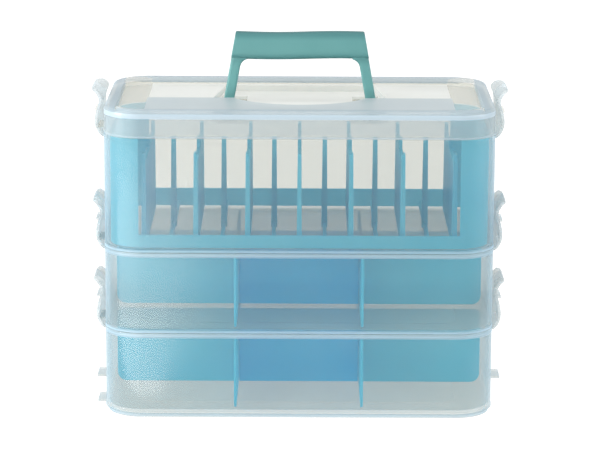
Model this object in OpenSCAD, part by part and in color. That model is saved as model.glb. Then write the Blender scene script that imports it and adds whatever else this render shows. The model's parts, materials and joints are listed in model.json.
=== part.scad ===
// Sewing box with trays: three stacked clear tiers, a lid with a folding bail handle,
// rocking side latches, a thread rack in the deep tier and lift-out dividers in the others.
// Origin at the centre of the base, +Z up, +X along the length, the back at +Y.

/* [Box] */
// Outer length of the tiers and lid
box_w = 360; // [340:1:380]
// Outer depth of the tiers and lid
box_d = 205; // [195:1:215]
// Plan radius of the vertical corners
corner_r = 36.5; // [32:0.5:40]
// Wall thickness of the clear mouldings
wall_t = 2.2; // [1.8:0.1:2.6]
// Height of the seam between the bottom and middle tiers
seam_low = 80.3; // [76:0.1:84]
// Height of the seam between the middle and top tiers
seam_mid = 156; // [152:0.5:160]
// Height of the seam between the top tier and the lid
seam_lid = 262; // [258:0.5:266]
// Height of the lid's rim crest
lid_top = 288; // [285:0.5:291]

/* [Tier floor] */
// Depth of the foot ring that nests inside the tier below
foot_h = 3.8; // [3:0.1:4.5]
// Floor thickness
floor_t = 3.3; // [3:0.1:3.5]
// Rise of the floor's central field
field_rise = 0.5; // [0.3:0.1:0.7]

/* [Handle] */
// Height of the handle's top edge above the base
grip_top = 346.5; // [342:0.5:350]
// Height of the grip bar, top to bottom
grip_h = 25.5; // [22:0.5:28]
// Thickness of the grip and arms from front to back
grip_t = 15; // [12:0.5:15]
// Height of the handle's pivot axis
pivot_z = 272; // [271:0.5:273]
// Radius of the trunnion pins
trunnion_r = 4; // [3:0.5:4.5]

/* [Thread rack] */
// Spacing of the tall fins
fin_pitch = 47.5; // [46:0.5:48]
// Height of the rack's post tops above the base of the box
rack_top = 245.6; // [235:0.1:250]
// Height of the rack's two end walls above the base of the box
rack_end_top = 262; // [250:1:263]
// Fin thickness
fin_t = 3.4; // [2.8:0.1:4]

/* [Dividers] */
// Divider sheet thickness
divider_t = 2.2; // [1.6:0.1:2.6]
// Distance of each cross divider from the middle
cross_x = 58.5; // [50:0.5:70]

/* [Latches] */
// Half width of a latch along the side wall
latch_half = 60; // [59.5:0.5:62]
// Plate thickness of a latch
latch_t = 2.4; // [2:0.1:2.6]
// Height of a latch's rocking axis above its seam
rock_h = 3.5; // [3.3:0.1:3.7]

/* [Hidden] */
$fn = 64;
run_gap = 0.05;
fit_gap = 0.5;
sheet_gap = 0.4;
// Overrun of cuts and joined solids
over = 1;
half_w = box_w / 2;
half_d = box_d / 2;
ring_out = wall_t + fit_gap;
ring_w = 2.6;
floor_top = floor_t;
field_top = floor_t + field_rise;
edge_round = 1.5;
field_w = 292;
field_d = 146;
field_r = 14;
field_wall = 2;

// Ledges that the latches rock on. The bare ones on the bottom tier sit lower, on its foot ring
ledge_t = 2;
ledge_len = 27;
ledge_y = 44.5;
ledge_long = 15;
ledge_short = 8.1;
ledge_drop = 3.3;
ledge_root = ring_out + ring_w / 2;

// Lid: a sunken plate inside the rim, a raised shelf in front, a shallow pocket for the folded
// grip and two deep channels for the arms
rim_w = 12;
lid_plate_top = 281.5;
lid_round = 5;
crest_h = 1.5;
crest_low = 1.5;
crest_high = 4;
shelf_top = 286;
shelf_back = -17;
shelf_half = 142;
shelf_arc_half = 62;
shelf_arc_depth = 38;
pocket_floor = 276;
pocket_back = 80;
pocket_half_back = 71.5;
pocket_half_front = 84;
channel_floor = 263;
channel_front = -11;
channel_back = 50;
channel_in = 50;
channel_out = 75;
boss_half = 7.5;
boss_len = 8;
bore_lead = 3;
neck_top = 279;

// Handle, half widths at the grip's top and at the pivot
handle_half_top = 60;
handle_half_low = 73.4;
handle_corner = 5;
handle_inner_r = 7;
handle_lean = 10;
arc_steps = 6;
arm_w = 9.8;
trunnion_reach = 80.5;

// Rack
rack_gap = 3.8;
rack_wall = 2.6;
rack_floor = seam_mid + field_top + 0.2;
rack_front_h = 11.5;
rack_back_h = 17;
rack_rib_h = 6;
fin_count = 3;
fin_half = 87;
post_step = 9;
post_half = 8;
end_post = 12;
thin_post_t = 4.4;
thin_post_d = 10;
thin_rib_t = 3.2;
thin_rib_h = 5;
end_from = 147;
rack_radius = corner_r - wall_t - rack_gap;
rack_half_w = half_w - wall_t - rack_gap;
rack_half_d = half_d - wall_t - rack_gap;

// Dividers
divider_half = 173.2;
cross_gap = 1.6;
cross_half = half_d - wall_t - cross_gap;
divider_lift = 0.3;
long_under = 0.8;
cross_under = 1;
divider_corner = 9;

// Latch section, distances out from the wall and heights above the seam
lip_low = -6;
lip_t = 1.6;
lip_gap = 0.35;
bow_out = 8.4;
bow_at = 9;
bow_fall = 6.5;
waist_out = 6.6;
waist_at = 21;
tab_out = 14;
tab_top = 33;
tab_curve = 1.6;
tab_edge = 1.5;
tab_edge_h = 1.8;
section_step = 3;

// Latch outline along the wall
latch_corner = 4;
latch_side_h = 12;
latch_shoulder = 6;
latch_shoulder_h = 18;
tab_half = 24;
tab_flare = 6;
tab_mid = 27;
tab_rise = 8.4;
slot_play = 1;
web_y = 20;
web_t = 2;
web_lid = 0.5;
web_tier = 4.5;
web_root = 2;
web_low = 28;
web_high = 31;
web_slope = 4;
web_top = 34.6;
web_crown = 10;
web_crown_h = 35.4;

clear_plastic = [0.83, 0.89, 0.92, 0.55];
blue_plastic = [0.35, 0.68, 0.80, 0.8];
teal_plastic = [0.42, 0.68, 0.67];

// ---- Plan outlines ----

// Rounded rectangle in plan, pulled in from the outer outline by inset
module plan(inset) {
  w = half_w - inset;
  d = half_d - inset;
  r = corner_r - inset;
  square([2 * w, 2 * (d - r)], center = true);
  square([2 * (w - r), 2 * d], center = true);
  for (sx = [-1, 1], sy = [-1, 1]) {
    translate([sx * (w - r), sy * (d - r)]) circle(r);
  }
}

// Rounded rectangle of any size
module round_rect(w, d, r) {
  square([w, d - 2 * r], center = true);
  square([w - 2 * r, d], center = true);
  for (sx = [-1, 1], sy = [-1, 1]) {
    translate([sx * (w / 2 - r), sy * (d / 2 - r)]) circle(r);
  }
}

// A slab of the plan outline from z0 to z1
module slab(inset, z0, z1) {
  translate([0, 0, z0]) linear_extrude(z1 - z0) plan(inset);
}

// ---- Clear tiers ----

// One ledge on a side wall: side is -1 left or 1 right, end is -1 front or 1 back,
// root is how far it runs in from the outer face
module ledge(side, end, level, reach, root) {
  low = end * ledge_y - ledge_len / 2;
  x0 = side < 0 ? -half_w - reach : half_w - root;
  translate([x0, low, level - ledge_t / 2]) cube([reach + root, ledge_len, ledge_t]);
}

// The ledges of one piece: a long one at the back of both sides, a short one at the left front
module ledges(level, root) {
  ledge(-1, 1, level, ledge_long, root);
  ledge(1, 1, level, ledge_long, root);
  ledge(-1, -1, level, ledge_short, root);
}

// An open tray from its seam up to its rim, with the nesting foot ring under it
module tier(seam, rim) {
  difference() {
    union() {
      slab(edge_round, seam, seam + edge_round);
      slab(0, seam + edge_round, rim);
      slab(ring_out, seam - foot_h, seam + over);
    }
    slab(wall_t, seam + floor_top, rim + over);
    slab(ring_out + ring_w, seam - foot_h - over, seam);
    translate([0, 0, seam - over]) linear_extrude(over + field_rise) {
      round_rect(field_w - 2 * field_wall, field_d - 2 * field_wall, field_r - field_wall);
    }
  }
  translate([0, 0, seam + field_rise]) linear_extrude(floor_t) round_rect(field_w, field_d, field_r);
}

module bottom_tier() {
  color(clear_plastic) {
    tier(foot_h, seam_low);
    ledges(foot_h + rock_h - ledge_drop, ledge_root);
  }
}

module middle_tier() {
  color(clear_plastic) {
    tier(seam_low, seam_mid);
    ledges(seam_low + rock_h, wall_t);
  }
}

// The deep tier also has a thin neck that reaches up inside the lid's skirt
module top_tier() {
  color(clear_plastic) {
    tier(seam_mid, seam_lid);
    ledges(seam_mid + rock_h, wall_t);
    difference() {
      slab(ring_out, seam_lid - foot_h, neck_top);
      slab(ring_out + wall_t, seam_lid - foot_h - over, neck_top + over);
    }
    difference() {
      slab(0, seam_lid - foot_h, seam_lid);
      slab(ring_out + wall_t, seam_lid - foot_h - over, seam_lid + over);
    }
  }
}

// ---- Lid ----

// Outline of the front shelf, with an arc cut into its back edge at the middle
module shelf_plan(extra) {
  front = rim_w - wall_t - half_d;
  radius = (pow(shelf_arc_half, 2) + pow(shelf_arc_depth, 2)) / (2 * shelf_arc_depth);
  difference() {
    translate([-shelf_half - extra, front]) square([2 * (shelf_half + extra), shelf_back + extra - front]);
    translate([0, shelf_back - shelf_arc_depth + radius]) circle(radius - extra);
  }
}

// Pocket outline that takes the folded grip, grown by extra on every side
module pocket_plan(extra) {
  polygon([
    [-pocket_half_front - extra, channel_front - extra], [pocket_half_front + extra, channel_front - extra],
    [pocket_half_back + extra, pocket_back + extra], [-pocket_half_back - extra, pocket_back + extra]
  ]);
}

// The two channels that the arms lie in, grown by extra on every side
module channel_plan(extra) {
  for (side = [-1, 1]) {
    translate([side < 0 ? -channel_out - extra : channel_in - extra, channel_front - extra]) {
      square([channel_out - channel_in + 2 * extra, channel_back - channel_front + 2 * extra]);
    }
  }
}

module lid_body() {
  slab(0, seam_lid, lid_top - lid_round);
  slab(crest_low, lid_top - lid_round, lid_top - crest_h);
  slab(crest_high, lid_top - crest_h, lid_top);
}

// Everything of the lid that lies above its skirt, before the pocket and channels are cut
module lid_top_plate() {
  slab(rim_w - wall_t, lid_plate_top - wall_t, lid_plate_top);
  difference() {
    slab(rim_w - wall_t, lid_plate_top - wall_t, lid_top - wall_t);
    slab(rim_w, lid_plate_top - wall_t, lid_top);
  }
  translate([0, 0, lid_plate_top - wall_t]) {
    linear_extrude(shelf_top - lid_plate_top + wall_t) difference() {
      shelf_plan(0);
      shelf_plan(-wall_t);
    }
  }
  translate([0, 0, shelf_top - wall_t]) linear_extrude(wall_t) shelf_plan(0);
  translate([0, 0, pocket_floor - wall_t]) {
    linear_extrude(lid_plate_top - pocket_floor + wall_t) pocket_plan(wall_t);
  }
  translate([0, 0, channel_floor - wall_t]) {
    linear_extrude(lid_plate_top - channel_floor + wall_t) channel_plan(wall_t);
  }
  for (side = [-1, 1]) {
    x0 = side < 0 ? -channel_out - boss_len : channel_out;
    translate([x0, -boss_half, channel_floor - wall_t]) {
      cube([boss_len, 2 * boss_half, pocket_floor - channel_floor + wall_t]);
    }
  }
}

module lid() {
  color(clear_plastic) {
    difference() {
      union() {
        difference() {
          lid_body();
          slab(wall_t, seam_lid - over, lid_top - 2 * wall_t);
          slab(rim_w, lid_plate_top - wall_t, lid_top + over);
        }
        lid_top_plate();
      }
      translate([0, 0, lid_plate_top - wall_t - over]) {
        linear_extrude(shelf_top - lid_plate_top + over) shelf_plan(-wall_t);
      }
      translate([0, 0, pocket_floor]) linear_extrude(lid_top) difference() {
        pocket_plan(0);
        shelf_plan(0);
      }
      translate([0, 0, pocket_floor]) {
        linear_extrude(lid_plate_top - wall_t - pocket_floor) pocket_plan(0);
      }
      translate([0, 0, channel_floor]) linear_extrude(lid_top) channel_plan(0);
      for (side = [-1, 1]) {
        translate([side * (channel_out - bore_lead), 0, pivot_z]) rotate([0, side * 90, 0]) {
          cylinder(r = trunnion_r + run_gap, h = trunnion_reach + fit_gap + bore_lead - channel_out);
        }
      }
    }
    ledges(seam_lid + rock_h, wall_t);
  }
}

// ---- Handle ----

// Half width of the handle's outer edge at a height z
function handle_half(z) = handle_half_top
  + (handle_half_low - handle_half_top) * (grip_top - z) / (grip_top - pivot_z);

// Points of an arc in the X-Z plane
function arc(cx, cz, r, a0, a1) = [
  for (i = [0:arc_steps])
    let (a = a0 + (a1 - a0) * i / arc_steps)
    [cx + r * cos(a), cz + r * sin(a)]
];

module handle_front() {
  inner_top = grip_top - grip_h;
  inner_half = handle_half(inner_top) - arm_w;
  corner = handle_corner;
  inner_r = handle_inner_r;
  lean = handle_lean;
  outer = concat(
    [[handle_half(pivot_z), pivot_z]],
    arc(handle_half_top - corner, grip_top - corner, corner, lean, 90),
    arc(corner - handle_half_top, grip_top - corner, corner, 90, 180 - lean),
    [[-handle_half(pivot_z), pivot_z]]
  );
  inner = concat(
    [[arm_w - handle_half(pivot_z), pivot_z]],
    arc(inner_r - inner_half, inner_top - inner_r, inner_r, 180 - lean, 90),
    arc(inner_half - inner_r, inner_top - inner_r, inner_r, 90, lean),
    [[handle_half(pivot_z) - arm_w, pivot_z]]
  );
  polygon(concat(outer, inner));
}

module handle() {
  color(teal_plastic) {
    translate([0, grip_t / 2, 0]) rotate([90, 0, 0]) linear_extrude(grip_t) handle_front();
    for (side = [-1, 1]) {
      translate([side * (handle_half_low - arm_w), 0, pivot_z]) rotate([0, side * 90, 0]) {
        cylinder(d = grip_t, h = arm_w);
      }
      translate([side * (handle_half_low - over), 0, pivot_z]) rotate([0, side * 90, 0]) {
        cylinder(r = trunnion_r, h = trunnion_reach - handle_half_low + over);
      }
    }
  }
}

// ---- Thread rack ----

module rack_plan(inset) {
  round_rect(2 * (rack_half_w - inset), 2 * (rack_half_d - inset), rack_radius - inset);
}

// Outline of one fin seen from the side, tall at both ends and in the middle
module fin_side() {
  top = rack_top;
  low = rack_top - post_step;
  end = fin_half - end_post;
  polygon([
    [-fin_half, rack_floor], [fin_half, rack_floor], [fin_half, top], [end, top], [end, low],
    [post_half, low], [post_half, top], [-post_half, top], [-post_half, low],
    [-end, low], [-end, top], [-fin_half, top]
  ]);
}

module thread_rack() {
  rib_len = 2 * (rack_half_d - over);
  color(blue_plastic) {
    difference() {
      translate([0, 0, rack_floor]) linear_extrude(rack_end_top - rack_floor) rack_plan(0);
      translate([0, 0, rack_floor - over]) linear_extrude(rack_end_top) rack_plan(rack_wall);
      translate([-end_from, 0, rack_floor + rack_back_h]) {
        cube([2 * end_from, rack_half_d + over, rack_end_top]);
      }
      translate([-end_from, -rack_half_d - over, rack_floor + rack_front_h]) {
        cube([2 * end_from, rack_half_d + 2 * over, rack_end_top]);
      }
    }
    for (i = [-fin_count:fin_count]) {
      x0 = i * fin_pitch - fin_t / 2;
      translate([x0, 0, 0]) rotate([90, 0, 90]) linear_extrude(fin_t) fin_side();
      translate([x0, over - rack_half_d, rack_floor]) cube([fin_t, rib_len, rack_rib_h]);
    }
    for (i = [-fin_count:fin_count - 1]) {
      x0 = (i + 0.5) * fin_pitch;
      translate([x0 - thin_post_t / 2, -thin_post_d / 2, rack_floor]) {
        cube([thin_post_t, thin_post_d, rack_top - rack_floor]);
      }
      translate([x0 - thin_rib_t / 2, over - rack_half_d, rack_floor]) {
        cube([thin_rib_t, rib_len, thin_rib_h]);
      }
    }
  }
}

// ---- Dividers ----

// Long divider: slots open downward over the cross dividers
module long_divider(seam, rim) {
  bottom = seam + field_top + divider_lift;
  top = rim - long_under;
  mid = (bottom + top) / 2;
  slot = divider_t + 2 * sheet_gap;
  color(blue_plastic) {
    translate([0, divider_t / 2, 0]) rotate([90, 0, 0]) linear_extrude(divider_t) difference() {
      polygon([
        [-divider_half + divider_corner, bottom], [divider_half - divider_corner, bottom],
        [divider_half, bottom + divider_corner], [divider_half, top - foot_h],
        [divider_half - foot_h, top], [-divider_half + foot_h, top],
        [-divider_half, top - foot_h], [-divider_half, bottom + divider_corner]
      ]);
      for (side = [-1, 1]) {
        translate([side * cross_x - slot / 2, bottom - over]) square([slot, mid - bottom + over]);
      }
    }
  }
}

// Cross divider: one slot open upward that the long divider drops into
module cross_divider(side, seam, rim) {
  bottom = seam + field_top + divider_lift;
  top = rim - cross_under;
  mid = (bottom + top) / 2 - sheet_gap;
  shoulder = foot_h + ring_w;
  slot = divider_t + 2 * sheet_gap;
  color(blue_plastic) {
    translate([side * cross_x - divider_t / 2, 0, 0]) rotate([90, 0, 90]) {
      linear_extrude(divider_t) difference() {
        polygon([
          [-cross_half + divider_corner, bottom], [cross_half - divider_corner, bottom],
          [cross_half, bottom + divider_corner], [cross_half, top - shoulder],
          [cross_half - shoulder, top], [shoulder - cross_half, top],
          [-cross_half, top - shoulder], [-cross_half, bottom + divider_corner]
        ]);
        translate([-slot / 2, mid]) square([slot, top]);
      }
    }
  }
}

module middle_long_divider() { long_divider(seam_low, seam_mid); }
module middle_cross_divider_left() { cross_divider(-1, seam_low, seam_mid); }
module middle_cross_divider_right() { cross_divider(1, seam_low, seam_mid); }
module bottom_long_divider() { long_divider(foot_h, seam_low); }
module bottom_cross_divider_left() { cross_divider(-1, foot_h, seam_low); }
module bottom_cross_divider_right() { cross_divider(1, foot_h, seam_low); }

// ---- Latches ----

// Distance of a latch plate's outer face from the wall, at a height v above the seam
function plate_out(v) =
  v < bow_at ? bow_out - bow_fall * pow((bow_at - v) / (bow_at - lip_low), 2)
  : v < waist_at ? bow_out - (bow_out - waist_out) * pow((v - bow_at) / (waist_at - bow_at), 2)
  : waist_out + (tab_out - waist_out) * pow((v - waist_at) / (tab_top - waist_at), tab_curve);

// Plate section: bowed away from the wall below, flared outward at the thumb tab
module latch_section() {
  outer = [for (v = [lip_low:section_step:tab_top]) [plate_out(v), v]];
  tip = [[tab_out - tab_edge, tab_top + tab_edge_h]];
  inner = [for (v = [tab_top:-section_step:lip_low + section_step]) [plate_out(v) - latch_t, v]];
  polygon(concat(outer, tip, inner, [[lip_gap, lip_low + lip_t], [lip_gap, lip_low]]));
}

// Side web that closes the thumb tab towards the wall, its inner edge at web_in
module tab_section(web_in) {
  polygon([
    [waist_out - web_root, waist_at - web_root / 2], [web_in, web_low], [web_in, web_high],
    [web_in + web_slope, web_top], [web_crown, web_crown_h],
    [tab_out - tab_edge, tab_top + tab_edge_h], [tab_out, tab_top],
    [plate_out(tab_mid), tab_mid], [waist_out, waist_at]
  ]);
}

// Latch outline seen from the side: wide below, a narrow rounded thumb tab above
module latch_outline() {
  half = latch_half;
  polygon(concat(
    [[latch_corner - half, lip_low], [half - latch_corner, lip_low], [half, lip_low + latch_corner]],
    [[half, latch_side_h], [half - latch_shoulder, latch_shoulder_h]],
    [[tab_half + tab_flare, waist_at], [tab_half, waist_at + latch_corner]],
    [for (a = [0:15:180]) [tab_half * cos(a), tab_mid + tab_rise * sin(a)]],
    [[-tab_half, waist_at + latch_corner], [-tab_half - tab_flare, waist_at]],
    [[latch_shoulder - half, latch_shoulder_h], [-half, latch_side_h], [-half, lip_low + latch_corner]]
  ));
}

// A latch in place: side is -1 or 1, web_in is how near the tab's webs come to the wall
module latch(side, seam, web_in) {
  slot_h = ledge_t + slot_play;
  slot_len = ledge_len + 2 * fit_gap;
  span = 2 * latch_half + 2 * over;
  depth = 2 * tab_out;
  color(clear_plastic) translate([0, 0, seam]) {
    mirror([side < 0 ? 1 : 0, 0, 0]) translate([half_w, 0, 0]) {
      difference() {
        intersection() {
          translate([0, span / 2, 0]) rotate([90, 0, 0]) linear_extrude(span) latch_section();
          rotate([90, 0, 90]) linear_extrude(depth) latch_outline();
        }
        for (end = [-1, 1]) {
          translate([0, end * ledge_y - slot_len / 2, rock_h - slot_h / 2]) cube([depth, slot_len, slot_h]);
        }
      }
      for (end = [-1, 1]) {
        translate([0, end * web_y + web_t / 2, 0]) rotate([90, 0, 0]) {
          linear_extrude(web_t) tab_section(web_in);
        }
      }
    }
  }
}

module latch_top_left() { latch(-1, seam_lid, web_lid); }
module latch_top_right() { latch(1, seam_lid, web_lid); }
module latch_middle_left() { latch(-1, seam_mid, web_tier); }
module latch_middle_right() { latch(1, seam_mid, web_tier); }
module latch_bottom_left() { latch(-1, seam_low, web_tier); }
module latch_bottom_right() { latch(1, seam_low, web_tier); }

bottom_tier();
middle_tier();
top_tier();
lid();
handle();
thread_rack();
middle_long_divider();
middle_cross_divider_left();
middle_cross_divider_right();
bottom_long_divider();
bottom_cross_divider_left();
bottom_cross_divider_right();
latch_top_left();
latch_top_right();
latch_middle_left();
latch_middle_right();
latch_bottom_left();
latch_bottom_right();
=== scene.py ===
"""Sewing box with trays: three clear tiers, a lid with a bail handle, rocking latches,
a thread rack and two sets of dividers. Lengths are in millimetres until a mesh is made."""

import json
import math

import bmesh
import bpy
from mathutils import Euler, Matrix, Vector


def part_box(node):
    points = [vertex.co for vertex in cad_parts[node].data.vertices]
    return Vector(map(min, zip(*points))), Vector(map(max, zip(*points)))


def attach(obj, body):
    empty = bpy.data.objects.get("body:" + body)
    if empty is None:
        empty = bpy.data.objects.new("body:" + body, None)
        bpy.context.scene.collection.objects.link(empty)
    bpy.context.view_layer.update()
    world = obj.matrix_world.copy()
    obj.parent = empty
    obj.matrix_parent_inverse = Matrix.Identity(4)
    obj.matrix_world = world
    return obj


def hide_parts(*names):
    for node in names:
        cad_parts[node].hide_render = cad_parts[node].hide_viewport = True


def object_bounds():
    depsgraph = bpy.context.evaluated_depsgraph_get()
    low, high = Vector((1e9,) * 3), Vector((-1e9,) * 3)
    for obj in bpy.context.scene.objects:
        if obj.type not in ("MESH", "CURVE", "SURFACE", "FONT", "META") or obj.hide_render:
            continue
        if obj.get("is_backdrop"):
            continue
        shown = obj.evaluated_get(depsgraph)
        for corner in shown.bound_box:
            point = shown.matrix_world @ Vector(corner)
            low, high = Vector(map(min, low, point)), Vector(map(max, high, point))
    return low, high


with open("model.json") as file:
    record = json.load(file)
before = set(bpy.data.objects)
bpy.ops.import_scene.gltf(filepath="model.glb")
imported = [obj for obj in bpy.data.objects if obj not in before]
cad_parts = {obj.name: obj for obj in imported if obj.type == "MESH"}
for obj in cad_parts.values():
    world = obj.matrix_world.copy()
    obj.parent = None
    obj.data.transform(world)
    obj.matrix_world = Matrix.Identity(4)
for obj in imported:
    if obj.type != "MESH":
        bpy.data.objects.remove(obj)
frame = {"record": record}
cad_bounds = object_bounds()

MM = 0.001
BODIES = frame["record"]["behaviour"]["bodies"]
LID_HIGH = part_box("lid")[1]
HANDLE_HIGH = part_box("handle")[1]

# ---- Sizes ----

HALF_W = 180.0
HALF_D = LID_HIGH.y / MM
CORNER = 36.5
WALL = 2.2
SEAM_BOTTOM = 3.8
SEAM_LOW = 80.3
SEAM_MID = 156.0
SEAM_LID = 262.0
LID_TOP = 288.0
FOOT_H = 3.8
FLOOR_T = 3.3
FIELD_RISE = 0.5
FIELD_TOP = FLOOR_T + FIELD_RISE
FIELD = (146.0, 73.0, 14.0)
FIELD_WALL = 2.0
RING_OUT = 2.7
RING_W = 2.6
BAND_H = 3.4
WALL_BACK = 0.4
EDGE = 0.5
FLOOR_FILLET = 3.0
NECK_TOP = 279.0

LEDGE_T = 2.0
LEDGE_LEN = 27.0
LEDGE_Y = 44.5
LEDGE_LONG = 15.0
LEDGE_SHORT = 8.1
ROCK_H = 3.5
BASE_LEDGE = 4.0

RIM_W = 12.0
PLATE_TOP = 281.5
LID_ROUND = 5.0
SHELF_TOP = 286.0
SHELF_BACK = -17.0
SHELF_HALF = 142.0
ARC_HALF = 62.0
ARC_DEPTH = 38.0
POCKET_FLOOR = 276.0
POCKET_BACK = 80.0
POCKET_HALF_BACK = 71.5
POCKET_HALF_FRONT = 84.0
CHANNEL_FLOOR = 263.0
CHANNEL_FRONT = -11.0
CHANNEL_BACK = 50.0
CHANNEL_IN = 50.0
CHANNEL_OUT = 75.0
BOSS_HALF = 7.5
BOSS_LEN = 8.0

GRIP_TOP = HANDLE_HIGH.z / MM
GRIP_H = 25.5
GRIP_T = 15.0
PIVOT_Z = 272.0
TRUNNION_R = 4.0
HANDLE_TOP_HALF = 60.0
HANDLE_LOW_HALF = 73.4
ARM_W = 9.8
ARM_T = 11.0
INNER_R = 7.0
GRIP_WAVE = 0.6
TRUNNION_REACH = 80.5

FIN_PITCH = 47.5
FIN_COUNT = 3
RACK_FLOOR = SEAM_MID + FIELD_TOP + 0.2
RACK_TOP = 245.6
RACK_END_TOP = 262.0
RACK_INSET = 6.0
RACK_WALL = 2.6
RACK_FRONT_H = 11.5
RACK_BACK_H = 17.0
RIB_H = 6.0
FIN_HALF = 87.0
POST_STEP = 9.0
POST_HALF = 8.0
END_POST = 12.0
END_FROM = 147.0
FIN_HALVES = (2.3, 1.6)
POST_HALVES = (2.8, 2.0)
POST_DEPTH = 5.0
FIN_RIB_HALF = 1.7
POST_RIB_HALF = 1.6

DIVIDER_T = 2.2
DIVIDER_HALF = 173.2
CROSS_X = 58.5
CROSS_HALF = 98.7
SHEET_GAP = 0.4
SHEET_LIFT = 0.3
LONG_BELOW_RIM = 0.8
CROSS_BELOW_RIM = 1.0
DIVIDER_CORNER = 9.0

LATCH_HALF = 60.0
LATCH_T = 2.4
LIP_LOW = -6.0
BOW_AT = 9.0
BOW_OUT = 8.4
BOW_FALL = 6.5
WAIST_AT = 21.0
WAIST_OUT = 6.6
TAB_TOP = 33.0
TAB_OUT = 14.0
TAB_CURVE = 1.6
TAB_HALF = 24.0
TAB_FOOT = 4.0
CROWN_AT = 27.0
CROWN_H = 8.4
LIP_GAP = 0.35
LATCH_STEPS = 30
LATCH_INSIDE_FROM = -3.0
LATCH_CORNER = 4.0
LATCH_SIDE_TOP = 12.0
LATCH_SHOULDER = 6.0
LATCH_SHOULDER_TOP = 18.0
SLOT_SPARE = 0.5
SLOT_HALF_H = 1.5
WEB_AT = 20.0
WEB_T = 2.0

MOULD_ROUND = 0.35
SHEET_ROUND = 0.4
RACK_ROUND = 0.5
HANDLE_ROUND = 0.5

CORNER_STEPS = 14
AMBIENT = 0.95
BACKDROP = 1.02

LENS = 167.64
SHIFT = -0.0064
CAMERA_AT = (0.0007, -2.59034, 0.72001)
PITCH_DOWN = 12.1
ROLL = 0.27


# ---- Mesh building ----

def add_object(name, mesh):
    obj = bpy.data.objects.new(name, mesh)
    bpy.context.scene.collection.objects.link(obj)
    return obj


def from_faces(name, verts, faces):
    """A mesh object from points in millimetres, with its faces turned outward."""
    mesh = bpy.data.meshes.new(name)
    mesh.from_pydata([Vector(v) * MM for v in verts], [], faces)
    bm = bmesh.new()
    bm.from_mesh(mesh)
    bmesh.ops.recalc_face_normals(bm, faces=bm.faces)
    bm.to_mesh(mesh)
    bm.free()
    return add_object(name, mesh)


def rounded(half_w, half_d, radius):
    """Points of a rounded rectangle in plan, anticlockwise."""
    points = []
    for quarter, (sx, sy) in enumerate(((1, 1), (-1, 1), (-1, -1), (1, -1))):
        for step in range(CORNER_STEPS + 1):
            a = math.radians(90 * (quarter + step / CORNER_STEPS))
            x = sx * (half_w - radius) + radius * math.cos(a)
            y = sy * (half_d - radius) + radius * math.sin(a)
            points.append((x, y))
    return points


def plan(inset, z):
    """The box's outline pulled in by inset, as a ring at height z."""
    return [(x, y, z) for x, y in rounded(HALF_W - inset, HALF_D - inset, CORNER - inset)]


def field(inset, z):
    """The raised middle of a tray floor, as a ring at height z."""
    half_w, half_d, radius = FIELD
    return [(x, y, z) for x, y in rounded(half_w - inset, half_d - inset, radius - inset)]


def loft(name, rings):
    """A closed solid skinned over rings that have the same number of points, capped at both ends."""
    count = len(rings[0])
    faces = [list(range(count))[::-1]]
    for row in range(len(rings) - 1):
        for i in range(count):
            j = (i + 1) % count
            a = row * count
            faces.append([a + i, a + j, a + count + j, a + count + i])
    faces.append([(len(rings) - 1) * count + i for i in range(count)])
    return from_faces(name, [p for ring in rings for p in ring], faces)


def prism(name, points, axis, low, high):
    """A polygon run along an axis: x takes (y, z) points, y takes (x, z) and z takes (x, y)."""
    place = {
        "x": lambda u, v, w: (w, u, v),
        "y": lambda u, v, w: (u, w, v),
        "z": lambda u, v, w: (u, v, w),
    }[axis]
    rings = [[place(u, v, w) for u, v in points] for w in (low, high)]
    return loft(name, rings)


def block(name, low, high):
    points = [(low[0], low[1]), (high[0], low[1]), (high[0], high[1]), (low[0], high[1])]
    return prism(name, points, "z", low[2], high[2])


def arc(cx, cy, radius, start, end, steps=8):
    out = []
    for i in range(steps + 1):
        a = math.radians(start + (end - start) * i / steps)
        out.append((cx + radius * math.cos(a), cy + radius * math.sin(a)))
    return out


def smooth_loop(points, steps=6):
    """A smooth closed curve through the points (Catmull-Rom)."""
    out = []
    count = len(points)
    for i in range(count):
        p0, p1, p2, p3 = (points[(i + k) % count] for k in (-1, 0, 1, 2))
        for step in range(steps):
            t = step / steps
            out.append(tuple(
                0.5 * (
                    2 * b + (c - a) * t
                    + (2 * a - 5 * b + 4 * c - d) * t * t
                    + (3 * b - a - 3 * c + d) * t ** 3
                )
                for a, b, c, d in zip(p0, p1, p2, p3)
            ))
    return out


def apply_modifiers(obj):
    graph = bpy.context.evaluated_depsgraph_get()
    mesh = bpy.data.meshes.new_from_object(obj.evaluated_get(graph))
    obj.modifiers.clear()
    old = obj.data
    obj.data = mesh
    bpy.data.meshes.remove(old)


def boolean(obj, tools, operation):
    for tool in tools:
        mod = obj.modifiers.new("boolean", "BOOLEAN")
        mod.operation = operation
        mod.solver = "EXACT"
        mod.object = tool
        bpy.context.view_layer.update()
        apply_modifiers(obj)
    for tool in tools:
        mesh = tool.data
        bpy.data.objects.remove(tool)
        bpy.data.meshes.remove(mesh)
    return obj


def fuse(obj, *tools):
    return boolean(obj, tools, "UNION")


def cut(obj, *tools):
    return boolean(obj, tools, "DIFFERENCE")


def soften(obj, width, segments=2, angle=32):
    """Rounds the hard edges and keeps the flat faces flat."""
    bevel = obj.modifiers.new("edge round", "BEVEL")
    bevel.width = width * MM
    bevel.segments = segments
    bevel.limit_method = "ANGLE"
    bevel.angle_limit = math.radians(angle)
    bevel.use_clamp_overlap = True
    bevel.miter_outer = "MITER_ARC"
    weighted = obj.modifiers.new("flat faces", "WEIGHTED_NORMAL")
    weighted.keep_sharp = True
    obj.data.polygons.foreach_set("use_smooth", [True] * len(obj.data.polygons))
    return obj


# ---- Clear tiers ----

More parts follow.
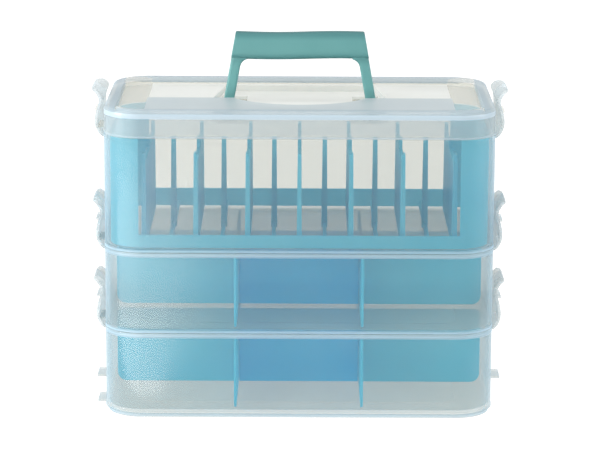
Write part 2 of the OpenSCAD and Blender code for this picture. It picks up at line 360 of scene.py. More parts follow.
def ledge(side, end, level, reach, root):
    x0, x1 = sorted((side * (HALF_W + reach), side * (HALF_W - root)))
    y0 = end * LEDGE_Y - LEDGE_LEN / 2
    return block("ledge", (x0, y0, level - LEDGE_T / 2), (x1, y0 + LEDGE_LEN, level + LEDGE_T / 2))


def ledges(level, root):
    return [
        ledge(-1, 1, level, LEDGE_LONG, root),
        ledge(1, 1, level, LEDGE_LONG, root),
        ledge(-1, -1, level, LEDGE_SHORT, root),
    ]


def floor_rings(seam):
    """Underside, foot ring and base edge, from the middle outward."""
    foot = seam - FOOT_H
    inner = RING_OUT + RING_W
    return [
        field(FIELD_WALL, seam + FIELD_RISE),
        field(FIELD_WALL, seam),
        plan(inner, seam),
        plan(inner, foot + EDGE),
        plan(inner - EDGE, foot),
        plan(RING_OUT + EDGE, foot),
        plan(RING_OUT, foot + EDGE),
        plan(RING_OUT, seam),
        plan(EDGE, seam),
        plan(0, seam + EDGE),
    ]


def wall_rings(seam, rim):
    """Outer wall with a raised band at its foot and at its rim."""
    return [
        plan(0, seam + BAND_H),
        plan(WALL_BACK, seam + BAND_H + WALL_BACK),
        plan(WALL_BACK, rim - BAND_H - WALL_BACK),
        plan(0, rim - BAND_H),
        plan(0, rim - EDGE),
        plan(EDGE, rim),
    ]


def inside_rings(seam):
    """Inner foot of the wall, its fillet and the raised field, down to the middle."""
    level = seam + FLOOR_T
    rings = []
    for i in range(5):
        a = math.radians(90 * i / 4)
        inset = WALL + FLOOR_FILLET * (1 - math.cos(a))
        rings.append(plan(inset, level + FLOOR_FILLET * (1 - math.sin(a))))
    rings.append(field(-EDGE, level))
    rings.append(field(0, seam + FIELD_TOP))
    return rings


def tier(name, seam, rim):
    rings = floor_rings(seam) + wall_rings(seam, rim)
    rings += [plan(WALL - EDGE, rim), plan(WALL, rim - EDGE)]
    rings += inside_rings(seam)
    return loft(name, rings)


def bottom_tier():
    box = tier("Bottom tier", SEAM_BOTTOM, SEAM_LOW)
    return soften(fuse(box, *ledges(BASE_LEDGE, RING_OUT + RING_W / 2)), MOULD_ROUND)


def middle_tier():
    box = tier("Middle tier", SEAM_LOW, SEAM_MID)
    return soften(fuse(box, *ledges(SEAM_LOW + ROCK_H, WALL - EDGE)), MOULD_ROUND)


def top_tier():
    rim = SEAM_LID
    inner = RING_OUT + WALL
    rings = floor_rings(SEAM_MID) + wall_rings(SEAM_MID, rim)
    rings += [
        plan(RING_OUT, rim),
        plan(RING_OUT, NECK_TOP - EDGE),
        plan(RING_OUT + EDGE, NECK_TOP),
        plan(inner - EDGE, NECK_TOP),
        plan(inner, NECK_TOP - EDGE),
        plan(inner, rim - FOOT_H),
        plan(WALL, rim - FOOT_H - RING_OUT),
    ]
    rings += inside_rings(SEAM_MID)
    box = loft("Top tier", rings)
    return soften(fuse(box, *ledges(SEAM_MID + ROCK_H, WALL - EDGE)), MOULD_ROUND)


# ---- Lid ----

def lid_rings():
    rings = [
        plan(RIM_W - WALL, PLATE_TOP - WALL),
        plan(RIM_W - WALL, LID_TOP - 2 * WALL),
        plan(WALL + LID_ROUND, LID_TOP - 2 * WALL),
        plan(WALL + 1, LID_TOP - LID_ROUND - 1),
        plan(WALL, LID_TOP - LID_ROUND - WALL),
        plan(WALL, SEAM_LID + EDGE),
        plan(WALL - EDGE, SEAM_LID),
        plan(EDGE, SEAM_LID),
        plan(0, SEAM_LID + EDGE),
        plan(0, SEAM_LID + BAND_H),
        plan(WALL_BACK, SEAM_LID + BAND_H + WALL_BACK),
        plan(WALL_BACK, LID_TOP - LID_ROUND - 1),
    ]
    for i in range(7):
        a = math.radians(90 * i / 6)
        inset = WALL_BACK + LID_ROUND * (1 - math.cos(a))
        rings.append(plan(inset, LID_TOP - LID_ROUND * (1 - math.sin(a))))
    rings += [
        plan(RIM_W - 1.2, LID_TOP),
        plan(RIM_W - 0.4, LID_TOP - 0.4),
        plan(RIM_W, LID_TOP - 1.2),
        plan(RIM_W, PLATE_TOP),
    ]
    return rings


def shelf_outline(grow):
    """The raised shelf along the front, its back edge swept forward in an arc at the middle."""
    front = RIM_W - WALL - HALF_D
    back = SHELF_BACK + grow
    radius = (ARC_HALF ** 2 + ARC_DEPTH ** 2) / (2 * ARC_DEPTH)
    centre = SHELF_BACK - ARC_DEPTH + radius
    hole = radius - grow
    half = math.sqrt(hole ** 2 - (centre - back) ** 2)
    start = math.degrees(math.atan2(back - centre, half))
    bow = arc(0, centre, hole, start, -180 - start, 24)
    side = SHELF_HALF + grow
    return [(-side, front), (side, front), (side, back)] + bow + [(-side, back)]


def pocket_outline(grow):
    front = CHANNEL_FRONT - grow
    back = POCKET_BACK + grow
    return [
        (-POCKET_HALF_FRONT - grow, front),
        (POCKET_HALF_FRONT + grow, front),
        (POCKET_HALF_BACK + grow, back),
        (-POCKET_HALF_BACK - grow, back),
    ]


def channel_block(side, grow, low, high):
    x0, x1 = sorted((side * (CHANNEL_IN - grow), side * (CHANNEL_OUT + grow)))
    y0 = CHANNEL_FRONT - grow
    y1 = CHANNEL_BACK + grow
    return block("channel", (x0, y0, low), (x1, y1, high))


def lid():
    body = loft("Lid", lid_rings())
    under = PLATE_TOP - WALL
    solids = [
        prism("shelf", shelf_outline(0), "z", under + 0.1, SHELF_TOP),
        prism("pocket", pocket_outline(WALL), "z", POCKET_FLOOR - WALL, PLATE_TOP - 0.1),
    ]
    for side in (-1, 1):
        solids.append(channel_block(side, WALL, CHANNEL_FLOOR - WALL, PLATE_TOP - 0.1))
        x0, x1 = sorted((side * CHANNEL_OUT, side * (CHANNEL_OUT + BOSS_LEN)))
        low = (x0, -BOSS_HALF, CHANNEL_FLOOR - WALL)
        solids.append(block("boss", low, (x1, BOSS_HALF, POCKET_FLOOR)))
    fuse(body, *solids)
    cuts = [
        prism("shelf", shelf_outline(-WALL), "z", under - 1, SHELF_TOP - WALL),
        prism("pocket", pocket_outline(0), "z", POCKET_FLOOR, LID_TOP + 1),
    ]
    for side in (-1, 1):
        cuts.append(channel_block(side, 0, CHANNEL_FLOOR, LID_TOP + 1))
        x0, x1 = sorted((side * (CHANNEL_OUT - 3), side * (TRUNNION_REACH + EDGE)))
        cuts.append(prism("bore", arc(0, PIVOT_Z, TRUNNION_R, 0, 345, 23), "x", x0, x1))
    cut(body, *cuts)
    fuse(body, *ledges(SEAM_LID + ROCK_H, WALL - EDGE))
    return soften(body, MOULD_ROUND)


# ---- Handle ----

def handle_half(z):
    lean = (HANDLE_LOW_HALF - HANDLE_TOP_HALF) / (GRIP_TOP - PIVOT_Z)
    return HANDLE_TOP_HALF + lean * (GRIP_TOP - z)


def super_ellipse(half_u, half_v, power, steps=40):
    """Points of a rounded box section, squarer as the power grows."""
    out = []
    for i in range(steps):
        a = 2 * math.pi * i / steps
        c, d = math.cos(a), math.sin(a)
        u = math.copysign(abs(c) ** (2 / power), c)
        v = math.copysign(abs(d) ** (2 / power), d)
        out.append((half_u * u, half_v * v))
    return out


def grip():
    """The crowned bar, its ends leaning with the arms and its edges gently waved."""
    middle = GRIP_TOP - GRIP_H / 2 - GRIP_WAVE
    rings = []
    stations = [-1, -0.995, -0.98] + [i / 12 for i in range(-11, 12)] + [0.98, 0.995, 1]
    for t in stations:
        shrink = {1: 0.93, 0.995: 0.975}.get(abs(t), 1.0)
        ring = []
        for y, dz in super_ellipse(GRIP_T / 2 * shrink, GRIP_H / 2 * shrink, 3.4):
            z = middle + dz + GRIP_WAVE * math.sin(math.pi * (t - 0.1))
            ring.append((t * handle_half(z), y, z))
        rings.append(ring)
    return loft("Handle", rings)


def arm(side):
    """One arm, widening into the grip with a round inner corner."""
    under = GRIP_TOP - GRIP_H - GRIP_WAVE
    top = under + GRIP_H / 2
    start = under - INNER_R
    rings = []
    levels = [PIVOT_Z + (start - PIVOT_Z) * i / 6 for i in range(7)]
    levels += [start + INNER_R * math.sin(math.radians(a)) for a in (20, 40, 55, 68, 78)]
    for z in levels + [top]:
        rise = min(max(z - start, 0), INNER_R * 0.98)
        flare = INNER_R - math.sqrt(INNER_R ** 2 - rise ** 2)
        outer = handle_half(z) - 0.3
        half = (ARM_W + flare) / 2
        centre = outer - half
        ring = super_ellipse(half, ARM_T / 2, 5)
        rings.append([(side * (centre + u), v, z) for u, v in ring])
    return loft("arm", rings)


def handle():
    low = handle_half(PIVOT_Z)
    parts = []
    for side in (-1, 1):
        parts.append(arm(side))
        x0, x1 = sorted((side * (low - ARM_W), side * (low - 0.3)))
        parts.append(prism("hub", arc(0, PIVOT_Z, GRIP_T / 2, 0, 350, 35), "x", x0, x1))
        x0, x1 = sorted((side * (low - 1), side * TRUNNION_REACH))
        parts.append(prism("pin", arc(0, PIVOT_Z, TRUNNION_R - 0.1, 0, 345, 23), "x", x0, x1))
    return soften(fuse(grip(), *parts), HANDLE_ROUND, angle=40)


# ---- Thread rack ----

def rack_plan(inset):
    total = RACK_INSET + inset
    return rounded(HALF_W - total, HALF_D - total, CORNER - total)


def tapered(obj, centre, low_half, high_half):
    """Draws a fin's sides in towards its top, as a moulded fin is drafted."""
    for v in obj.data.vertices:
        x = v.co.x / MM - centre
        t = (v.co.z / MM - RACK_FLOOR) / (RACK_TOP - RACK_FLOOR)
        half = low_half + (high_half - low_half) * t
        v.co.x = (centre + math.copysign(half, x)) * MM
    return obj


def fin_outline():
    low = RACK_TOP - POST_STEP
    end = FIN_HALF - END_POST
    return [
        (-FIN_HALF, RACK_FLOOR), (FIN_HALF, RACK_FLOOR), (FIN_HALF, RACK_TOP), (end, RACK_TOP),
        (end, low), (POST_HALF, low), (POST_HALF, RACK_TOP), (-POST_HALF, RACK_TOP),
        (-POST_HALF, low), (-end, low), (-end, RACK_TOP), (-FIN_HALF, RACK_TOP),
    ]


def thread_rack():
    rack = prism("Thread rack", rack_plan(0), "z", RACK_FLOOR, RACK_END_TOP)
    depth = HALF_D - RACK_INSET
    rib = depth - 1
    above = RACK_END_TOP + 1
    cut(
        rack,
        prism("inside", rack_plan(RACK_WALL), "z", RACK_FLOOR - 1, above),
        block("back", (-END_FROM, 0, RACK_FLOOR + RACK_BACK_H), (END_FROM, depth + 1, above)),
        block("front", (-END_FROM, -depth - 1, RACK_FLOOR + RACK_FRONT_H), (END_FROM, 1, above)),
    )
    for i in range(-FIN_COUNT, FIN_COUNT + 1):
        x = i * FIN_PITCH
        fin = prism("fin", fin_outline(), "x", x - 1, x + 1)
        fuse(rack, tapered(fin, x, *FIN_HALVES))
        low = (x - FIN_RIB_HALF, -rib, RACK_FLOOR)
        fuse(rack, block("rib", low, (x + FIN_RIB_HALF, rib, RACK_FLOOR + RIB_H)))
    for i in range(-FIN_COUNT, FIN_COUNT):
        x = (i + 0.5) * FIN_PITCH
        post = block("post", (x - 1, -POST_DEPTH, RACK_FLOOR), (x + 1, POST_DEPTH, RACK_TOP))
        fuse(rack, tapered(post, x, *POST_HALVES))
        low = (x - POST_RIB_HALF, -rib, RACK_FLOOR)
        fuse(rack, block("rib", low, (x + POST_RIB_HALF, rib, RACK_FLOOR + RIB_H - 1)))
    return soften(rack, RACK_ROUND)


# ---- Dividers ----

def sheet_outline(half, bottom, top, shoulder):
    """A sheet with round lower corners and sloped upper ones."""
    r = DIVIDER_CORNER
    return (
        arc(r - half, bottom + r, r, 180, 270)
        + arc(half - r, bottom + r, r, 270, 360)
        + [(half, top - shoulder), (half - shoulder, top)]
        + [(shoulder - half, top), (-half, top - shoulder)]
    )


def long_divider(name, seam, rim):
    """The sheet along the box, slotted from below for the cross dividers."""
    bottom = seam + FIELD_TOP + SHEET_LIFT
    top = rim - LONG_BELOW_RIM
    mid = (bottom + top) / 2
    slot = DIVIDER_T / 2 + SHEET_GAP
    outline = sheet_outline(DIVIDER_HALF, bottom, top, FOOT_H)
    sheet = prism(name, outline, "y", -DIVIDER_T / 2, DIVIDER_T / 2)
    for side in (-1, 1):
        x = side * CROSS_X
        cut(sheet, block("slot", (x - slot, -5, bottom - 1), (x + slot, 5, mid)))
    return soften(sheet, SHEET_ROUND)


def cross_divider(name, side, seam, rim):
    """A sheet across the box, slotted from above for the long divider."""
    bottom = seam + FIELD_TOP + SHEET_LIFT
    top = rim - CROSS_BELOW_RIM
    mid = (bottom + top) / 2 - SHEET_GAP
    slot = DIVIDER_T / 2 + SHEET_GAP
    outline = sheet_outline(CROSS_HALF, bottom, top, FOOT_H + RING_W)
    x = side * CROSS_X
    sheet = prism(name, outline, "x", x - DIVIDER_T / 2, x + DIVIDER_T / 2)
    cut(sheet, block("slot", (x - 5, -slot, mid), (x + 5, slot, top + 1)))
    return soften(sheet, SHEET_ROUND)


# ---- Latches ----

def plate_out(v):
    """Distance of a latch's outer face from the wall at height v above the seam."""
    if v < BOW_AT:
        return BOW_OUT - BOW_FALL * ((BOW_AT - v) / (BOW_AT - LIP_LOW)) ** 2
    if v < WAIST_AT:
        return BOW_OUT - (BOW_OUT - WAIST_OUT) * ((v - BOW_AT) / (WAIST_AT - BOW_AT)) ** 2
    return WAIST_OUT + (TAB_OUT - WAIST_OUT) * ((v - WAIST_AT) / (TAB_TOP - WAIST_AT)) ** TAB_CURVE


def latch_face():
    """A latch seen square on: a wide lower plate, shoulders and a crowned tab, as (y, height)."""
    right = [
        (LATCH_HALF - LATCH_CORNER, LIP_LOW),
        (LATCH_HALF, LIP_LOW + LATCH_CORNER),
        (LATCH_HALF, LATCH_SIDE_TOP),
        (LATCH_HALF - LATCH_SHOULDER, LATCH_SHOULDER_TOP),
        (TAB_HALF + LATCH_SHOULDER, WAIST_AT),
        (TAB_HALF, WAIST_AT + TAB_FOOT),
    ]
    left = [(-y, v) for y, v in reversed(right)]
    crown = []
    for step in range(0, 181, 10):
        a = math.radians(step)
        crown.append((TAB_HALF * math.cos(a), CROWN_AT + CROWN_H * math.sin(a)))
    return left[-1:] + right + crown + left[:-1]


def latch(name, side, seam, web_in):
    """One rocking clip. web_in is how far out from the wall its two webs reach inward."""
    rise = [LIP_LOW + (TAB_TOP - LIP_LOW) * i / LATCH_STEPS for i in range(LATCH_STEPS + 1)]
    section = [(plate_out(v), v) for v in rise]
    section += [(TAB_OUT - 0.5, TAB_TOP + 1.2), (TAB_OUT - 1.5, TAB_TOP + 1.8)]
    section += [(plate_out(v) - LATCH_T, v) for v in reversed(rise) if v >= LATCH_INSIDE_FROM]
    section += [(LIP_GAP, LIP_LOW + 1.6), (LIP_GAP, LIP_LOW)]
    points = [(side * (HALF_W + out), seam + v) for out, v in section]
    plate = prism(name, points, "y", -LATCH_HALF - 1, LATCH_HALF + 1)
    x0, x1 = sorted((side * HALF_W, side * (HALF_W + 40)))
    shape = prism("outline", [(y, seam + v) for y, v in latch_face()], "x", x0, x1)
    boolean(plate, [shape], "INTERSECT")
    middle = seam + ROCK_H
    for end in (-1, 1):
        y0 = end * LEDGE_Y - LEDGE_LEN / 2 - SLOT_SPARE
        high = (x1, y0 + LEDGE_LEN + 2 * SLOT_SPARE, middle + SLOT_HALF_H)
        cut(plate, block("slot", (x0, y0, middle - SLOT_HALF_H), high))
    web = smooth_loop([
        (WAIST_OUT - 2, WAIST_AT - 1), (web_in + 0.3, 28), (web_in + 0.4, 31.5), (web_in + 4, 34.9),
        (10, 35.3), (TAB_OUT - 1.2, TAB_TOP + 1.2), (TAB_OUT - 0.4, TAB_TOP - 1.5),
        (plate_out(CROWN_AT) - 0.3, CROWN_AT), (WAIST_OUT - 0.2, WAIST_AT),
    ])
    for end in (-1, 1):
        points = [(side * (HALF_W + out), seam + v) for out, v in web]
        fuse(plate, prism("web", points, "y", end * WEB_AT - WEB_T / 2, end * WEB_AT + WEB_T / 2))
    return soften(plate, SHEET_ROUND)


# ---- Materials ----

CLOUD_SCALE = 24
GRAIN_SCALE = 1400
GRAIN_DEPTH = 0.0002
ROUGH_SPREAD = 0.06
HAZE_FALL = 2.2
GLOSS_FALL = 5
LET_THROUGH = 0.8


def linear(r, g, b):
    """A colour given as 0 to 255 display values, in scene-linear values."""
    out = []
    for value in (r, g, b):
        c = value / 255
        out.append(c / 12.92 if c <= 0.04045 else ((c + 0.055) / 1.055) ** 2.4)
    return (*out, 1.0)


def add_noise(tree, coords, scale, detail):
    noise = tree.nodes.new("ShaderNodeTexNoise")
    noise.inputs["Scale"].default_value = scale
    noise.inputs["Detail"].default_value = detail
    tree.links.new(coords, noise.inputs["Vector"])
    return noise.outputs["Fac"]


def remap(tree, value, low, high):
    """value, which runs from 0 to 1, put into the range low to high."""
    node = tree.nodes.new("ShaderNodeMapRange")
    node.inputs["To Min"].default_value = low
    node.inputs["To Max"].default_value = high
    tree.links.new(value, node.inputs["Value"])
    return node.outputs["Result"]


def new_material(name):
    """A node material: itself, its tree, its shader and the object coordinates."""
    material = bpy.data.materials.new(name)
    material.use_nodes = True
    tree = material.node_tree
    coords = tree.nodes.new("ShaderNodeTexCoord").outputs["Object"]
    return material, tree, tree.nodes["Principled BSDF"], coords


def math_node(tree, operation, a, b, clamp=False):
    """A math node on two inputs, each a socket or a number."""
    node = tree.nodes.new("ShaderNodeMath")
    node.operation = operation
    node.use_clamp = clamp
    for socket, value in zip(node.inputs, (a, b)):
        if isinstance(value, (int, float)):
            socket.default_value = value
        else:
            tree.links.new(value, socket)
    return node.outputs["Value"]


def colour_and_grain(tree, shader, coords, dark, light, rough, bump):
    """Cloudy colour, uneven gloss and a fine moulded grain. Returns the cloud."""
    cloud = add_noise(tree, coords, CLOUD_SCALE, 3)
    grain = add_noise(tree, coords, GRAIN_SCALE, 2)
    colour = tree.nodes.new("ShaderNodeMix")
    colour.data_type = "RGBA"
    colour.inputs["A"].default_value = dark
    colour.inputs["B"].default_value = light
    tree.links.new(cloud, colour.inputs["Factor"])
    tree.links.new(colour.outputs["Result"], shader.inputs["Base Color"])
    tree.links.new(remap(tree, grain, rough - ROUGH_SPREAD, rough + ROUGH_SPREAD), shader.inputs["Roughness"])
    relief = tree.nodes.new("ShaderNodeBump")
    relief.inputs["Strength"].default_value = bump
    relief.inputs["Distance"].default_value = GRAIN_DEPTH
    tree.links.new(grain, relief.inputs["Height"])
    tree.links.new(relief.outputs["Normal"], shader.inputs["Normal"])
    return cloud


def split(tree, vector):
    """The X, Y and Z outputs of a vector."""
    axes = tree.nodes.new("ShaderNodeSeparateXYZ")
    tree.links.new(vector, axes.inputs["Vector"])
    return axes.outputs


def by_height(tree, coords, steps, smooth=False):
    """A value read off the height. steps is [(height in mm, value from there up)], from 0 up."""
    ramp = tree.nodes.new("ShaderNodeValToRGB")
    ramp.color_ramp.interpolation = "EASE" if smooth else "CONSTANT"
    share = math_node(tree, "DIVIDE", split(tree, coords)["Z"], GRIP_TOP * MM)
    tree.links.new(share, ramp.inputs["Fac"])
    stops = ramp.color_ramp.elements
    stops.remove(stops[1])
    stops[0].position = 0
    stops[0].color = (*[steps[0][1]] * 3, 1)
    for level, value in steps[1:]:
        stops.new(level / GRIP_TOP).color = (value, value, value, 1)
    return ramp.outputs["Color"]


def blend_colour(tree, factor, under, over_it):
    """under is a socket, over_it a colour that takes over as factor grows."""
    mix = tree.nodes.new("ShaderNodeMix")
    mix.data_type = "RGBA"
    tree.links.new(factor, mix.inputs["Factor"])
    tree.links.new(under, mix.inputs["A"])
    mix.inputs["B"].default_value = over_it
    return mix.outputs["Result"]


def outer_wall(tree, coords):
    """1 on upright faces that look outward from the outside of the box, 0 elsewhere."""
    normal = tree.nodes.new("ShaderNodeTexCoord").outputs["Normal"]
    tilt = math_node(tree, "ABSOLUTE", split(tree, normal)["Z"], 0)
    out = tree.nodes.new("ShaderNodeVectorMath")
    out.operation = "DOT_PRODUCT"
    tree.links.new(coords, out.inputs[0])
    tree.links.new(normal, out.inputs[1])
    upright = math_node(tree, "LESS_THAN", tilt, 0.3)
    outside = math_node(tree, "GREATER_THAN", out.outputs["Value"], (HALF_D - RIM_W / 2) * MM)
    return math_node(tree, "MULTIPLY", upright, outside)


def lid_areas(tree, coords):
    """Masks of the lid: its frosted panel, shelf and pocket, its raised shelf alone, and its rim."""
    axes = split(tree, coords)
    x = math_node(tree, "ABSOLUTE", axes["X"], 0)
    y = math_node(tree, "ABSOLUTE", axes["Y"], 0)
    inside = math_node(tree, "LESS_THAN", x, (SHELF_HALF + 0.5) * MM)
    within = math_node(tree, "LESS_THAN", y, (HALF_D - RIM_W) * MM)
    inside = math_node(tree, "MULTIPLY", inside, within)
    above = math_node(tree, "GREATER_THAN", axes["Z"], (POCKET_FLOOR - WALL - 0.5) * MM)
    raised = math_node(tree, "GREATER_THAN", axes["Z"], (PLATE_TOP + 1) * MM)
    ends = math_node(tree, "GREATER_THAN", x, (HALF_W - RIM_W) * MM)
    sides = math_node(tree, "GREATER_THAN", y, (HALF_D - RIM_W) * MM)
    rim = math_node(tree, "MULTIPLY", math_node(tree, "MAXIMUM", ends, sides), raised)
    return math_node(tree, "MULTIPLY", inside, above), math_node(tree, "MULTIPLY", inside, raised), rim


def translucent(name, colours, tint, haze, gloss, bands=None, band_colour=None, lid_haze=None, middle=None,
                glow_share=0.45):
    """Milky plastic: a tinted see-through part, a cloudy haze that thickens where the surface turns
    away, as glass does, and a gloss. haze is (facing, edge, unevenness), gloss (facing, edge),
    bands extra haze on the outer walls by height, lid_haze the extra on the lid's areas, and middle
    a colour of painted shade between the cross dividers. Clear walls let light through to what they hold."""
    material, tree, shader, coords = new_material(name)
    cloud = colour_and_grain(tree, shader, coords, *colours, 0.4, 0.15)
    shader.inputs["Specular IOR Level"].default_value = 0.1
    facing = tree.nodes.new("ShaderNodeLayerWeight")
    facing.inputs["Blend"].default_value = 0.5
    away = math_node(tree, "POWER", facing.outputs["Facing"], HAZE_FALL)
    face, edge, uneven = haze
    amount = math_node(tree, "ADD", remap(tree, away, face, edge), remap(tree, cloud, -uneven, uneven), True)
    colour = shader.inputs["Base Color"].links[0].from_socket
    if bands:
        outer = outer_wall(tree, coords)
        extra = math_node(tree, "MULTIPLY", by_height(tree, coords, bands), outer)
        amount = math_node(tree, "ADD", amount, extra, True)
        colour = blend_colour(tree, outer if lid_haze else extra, colour, band_colour)
    if lid_haze:
        areas = lid_areas(tree, coords)
        for area, share in zip(areas, lid_haze):
            amount = math_node(tree, "ADD", amount, math_node(tree, "MULTIPLY", area, share), True)
        colour = blend_colour(tree, areas[1], colour, SHELF)
        colour = blend_colour(tree, areas[2], colour, band_colour)
    if middle:
        # Painted shade: the stretch between the cross dividers takes a deeper blue that stands in for the
        # shade they cast.
        x = math_node(tree, "ABSOLUTE", split(tree, coords)["X"], 0)
        between = math_node(tree, "LESS_THAN", x, (CROSS_X - DIVIDER_T) * MM)
        colour = blend_colour(tree, between, colour, middle)
    tree.links.new(colour, shader.inputs["Base Color"])
    see_through = tree.nodes.new("ShaderNodeBsdfTransparent")
    see_through.inputs["Color"].default_value = tint
    glow = tree.nodes.new("ShaderNodeBsdfTranslucent")
    tree.links.new(colour, glow.inputs["Color"])
    milk = tree.nodes.new("ShaderNodeMixShader")
    milk.inputs["Fac"].default_value = glow_share
    tree.links.new(shader.outputs["BSDF"], milk.inputs[1])
    tree.links.new(glow.outputs["BSDF"], milk.inputs[2])
    body = tree.nodes.new("ShaderNodeMixShader")
    tree.links.new(amount, body.inputs["Fac"])
    tree.links.new(see_through.outputs["BSDF"], body.inputs[1])
    tree.links.new(milk.outputs["Shader"], body.inputs[2])
    shine = tree.nodes.new("ShaderNodeBsdfGlossy")
    shine.inputs["Roughness"].default_value = 0.22
    schlick = math_node(tree, "POWER", facing.outputs["Facing"], GLOSS_FALL)
    total = tree.nodes.new("ShaderNodeMixShader")
    tree.links.new(remap(tree, schlick, *gloss), total.inputs["Fac"])
    tree.links.new(body.outputs["Shader"], total.inputs[1])
    tree.links.new(shine.outputs["BSDF"], total.inputs[2])
    finished = total.outputs["Shader"]
    if bands:
        path = tree.nodes.new("ShaderNodeLightPath").outputs
        passing = math_node(tree, "MAXIMUM", path["Is Shadow Ray"], path["Is Diffuse Ray"])
        light = tree.nodes.new("ShaderNodeMixShader")
        tree.links.new(math_node(tree, "MULTIPLY", passing, LET_THROUGH), light.inputs["Fac"])
        tree.links.new(finished, light.inputs[1])
        tree.links.new(see_through.outputs["BSDF"], light.inputs[2])
        finished = light.outputs["Shader"]
    tree.links.new(finished, tree.nodes["Material Output"].inputs["Surface"])
    return material


def matt(name, colours, painted_shade_colour, rough, bump, bands):
    """Opaque plastic with painted shade, laid on by height as a blend towards a darker colour."""
    material, tree, shader, coords = new_material(name)
    colour_and_grain(tree, shader, coords, *colours, rough, bump)
    under = shader.inputs["Base Color"].links[0].from_socket
    # Painted shade: the colour is blended towards the darker one by height.
    colour = blend_colour(tree, by_height(tree, coords, bands, smooth=True), under, painted_shade_colour)
    tree.links.new(colour, shader.inputs["Base Color"])
    return material


WARM = (0.912, 0.906, 0.88, 1.0)
SKIRT = linear(162, 178, 188)
SHELF = linear(178, 189, 195)
CLEAR_HAZE = (0.08, 0.7, 0.02)
CLEAR_GLOSS = (0.025, 0.12)


def seam_band(seam, haze):
    """Two pale lines with a clearer one between them, where two tiers overlap."""
    return [(seam - 5.2, haze), (seam - 2.6, 0.7 * haze), (seam - 1.2, 1.2 * haze), (seam + 1.8, 0.6 * haze),
            (seam + FLOOR_T, 0)]


CLEAR_BANDS = [(0, 0.45), (4, 0), *seam_band(SEAM_LOW, 0.6), *seam_band(SEAM_MID, 0.5)]
LID_BANDS = [(0, 0), (SEAM_LID, 0.35), (SEAM_LID + 1.2, 0.2), (PLATE_TOP - 2.2, 0.85)]
LID_AREA_HAZE = (0.35, 0.05, 0.4)
GRIP_LOW = GRIP_TOP - GRIP_H
# Painted shade on the handle by height: darkest low down by the pivots in the lid's pocket, darker where the
# grip meets the arms and along the grip's top edge, least on the arms above the lid.
HANDLE_PAINTED_SHADE = [
    (0, 0.9), (LID_TOP - 4, 0.35), (LID_TOP + 8, 0),
    (GRIP_LOW - 9, 0.1), (GRIP_LOW + 1, 0.55), (GRIP_LOW + 6, 0.3),
    (GRIP_TOP - 9, 0.35), (GRIP_TOP - 1, 0.95),
]
BLUE_TINT = (0.5, 0.9, 0.97, 1.0)
BLUE_HAZE = (0.7, 0.92, 0.03)
BLUE_GLOSS = (0.01, 0.05)

CLEAR = translucent(
    "Frosted clear", (linear(170, 194, 208), linear(186, 206, 218)), WARM, CLEAR_HAZE, CLEAR_GLOSS,
    CLEAR_BANDS, linear(172, 196, 212))
LID = translucent(
    "Frosted lid", (linear(226, 227, 225), linear(234, 235, 233)), WARM, (0.08, 0.36, 0.02), (0.025, 0.1),
    LID_BANDS, SKIRT, LID_AREA_HAZE, glow_share=0.1)
LATCH = translucent(
    "Frosted latch", (linear(200, 210, 216), linear(216, 224, 229)), WARM, (0.45, 0.8, 0.03), CLEAR_GLOSS)
BLUE = translucent(
    "Blue translucent", (linear(88, 198, 224), linear(110, 208, 230)), BLUE_TINT, BLUE_HAZE, BLUE_GLOSS)
# The sheet's third colour is painted shade between the cross dividers.
SHEET = translucent(
    "Blue sheet", (linear(74, 200, 230), linear(94, 208, 234)), BLUE_TINT, BLUE_HAZE, BLUE_GLOSS,
    middle=linear(0, 204, 248))
# The handle's darker third colour is painted shade.
TEAL = matt(
    "Teal handle", (linear(78, 134, 134), linear(92, 148, 146)), linear(42, 98, 99), 0.5, 0.35, HANDLE_PAINTED_SHADE)


# ---- Pieces ----

def body_of(node):
    return next(name for name, members in BODIES.items() if node in members)


def place(piece, node, slot, material):
    """Names and paints a piece, and has it stand in for its CAD node on the same body."""
    piece.name = f"{node}_moulding"
    piece.data.materials.clear()
    piece.data.materials.append(material)
    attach(piece, body_of(node))
    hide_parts(node)


place(bottom_tier(), "bottom_tier", "clear_plastic", CLEAR)
place(middle_tier(), "middle_tier", "clear_plastic", CLEAR)
place(top_tier(), "top_tier", "clear_plastic", CLEAR)
place(lid(), "lid", "clear_plastic", LID)
place(handle(), "handle", "teal_plastic", TEAL)
place(thread_rack(), "thread_rack", "blue_plastic", BLUE)

for level, seam, rim in (("middle", SEAM_LOW, SEAM_MID), ("bottom", SEAM_BOTTOM, SEAM_LOW)):
    title = level.capitalize()
    sheet = long_divider(f"{title} long divider", seam, rim)
    place(sheet, f"{level}_long_divider", "blue_plastic", SHEET)
    for hand, side in (("left", -1), ("right", 1)):
        sheet = cross_divider(f"{title} cross divider {hand}", side, seam, rim)
        place(sheet, f"{level}_cross_divider_{hand}", "blue_plastic", SHEET)

for level, seam, web_in in (("top", SEAM_LID, 0.5), ("middle", SEAM_MID, 4.5), ("bottom", SEAM_LOW, 4.5)):
    for hand, side in (("left", -1), ("right", 1)):
        piece = latch(f"Latch {level} {hand}", side, seam, web_in)
        place(piece, f"latch_{level}_{hand}", "latch_plastic", LATCH)


# ---- Studio ----

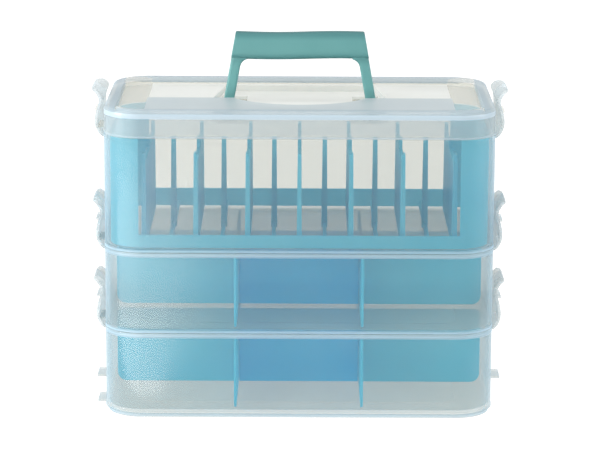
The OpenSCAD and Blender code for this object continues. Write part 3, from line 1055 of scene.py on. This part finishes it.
def studio_floor():
    material = bpy.data.materials.new("Studio floor")
    material.use_nodes = True
    shader = material.node_tree.nodes["Principled BSDF"]
    shader.inputs["Base Color"].default_value = (0.3, 0.3, 0.3, 1)
    shader.inputs["Roughness"].default_value = 1.0
    shader.inputs["Specular IOR Level"].default_value = 0.0
    shader.inputs["Emission Color"].default_value = (1, 1, 1, 1)
    shader.inputs["Emission Strength"].default_value = 0.85
    size = 20000
    corners = [(-size, -size, 0), (size, -size, 0), (size, size, 0), (-size, size, 0)]
    floor = from_faces("Floor", corners, [[0, 1, 2, 3]])
    floor.data.materials.append(material)
    floor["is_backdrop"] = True


def softbox(name, place_at, aim, size, power):
    light = bpy.data.lights.new(name, "AREA")
    light.shape = "SQUARE"
    light.size = size
    light.energy = power
    obj = add_object(name, light)
    obj.location = place_at
    obj.rotation_euler = (Vector(aim) - Vector(place_at)).to_track_quat("-Z", "Y").to_euler()


def studio_world():
    """A white backdrop that lights the object less than it shows."""
    world = bpy.data.worlds.new("Studio")
    world.use_nodes = True
    tree = world.node_tree
    back = tree.nodes["Background"]
    back.inputs["Color"].default_value = (1, 1, 1, 1)
    path = tree.nodes.new("ShaderNodeLightPath")
    tree.links.new(remap(tree, path.outputs["Is Camera Ray"], AMBIENT, BACKDROP), back.inputs["Strength"])
    return world


def camera():
    data = bpy.data.cameras.new("Camera")
    data.lens = LENS
    data.sensor_width = 36
    data.shift_y = SHIFT
    obj = add_object("Camera", data)
    obj.location = CAMERA_AT
    tilt = Euler((math.radians(90 - PITCH_DOWN), 0, 0), "XYZ").to_matrix()
    obj.rotation_euler = (tilt @ Matrix.Rotation(math.radians(ROLL), 3, "Z")).to_euler()
    bpy.context.scene.camera = obj


def floor_glow(place_at, size, power):
    """A lit patch of floor that only shows as a soft streak on the gloss of the left corners."""
    softbox("Floor glow", place_at, (*place_at[:2], 1), size, power)
    glow = bpy.context.scene.objects["Floor glow"]
    glow.visible_camera = glow.visible_diffuse = glow.visible_transmission = False


studio_floor()
floor_glow((-0.63, -0.67, 0.002), 1.0, 17)
softbox("Key", (-1.9, -2.2, 1.2), (0, 0, 0.15), 1.5, 27)
softbox("Fill", (2.0, -2.0, 0.9), (0, 0, 0.15), 1.2, 14)
softbox("Top", (0, -0.4, 2.2), (0, 0, 0.2), 1.6, 12)
softbox("Left side", (-2.2, -0.6, 0.5), (0, 0, 0.15), 1.0, 46)
softbox("Right side", (2.2, -0.6, 0.5), (0, 0, 0.15), 1.0, 14)
camera()

scene = bpy.context.scene
scene.world = studio_world()
scene.view_settings.view_transform = "Standard"
scene.cycles.transparent_max_bounces = 48

bounds = [[list(corner) for corner in box] for box in (cad_bounds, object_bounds())]
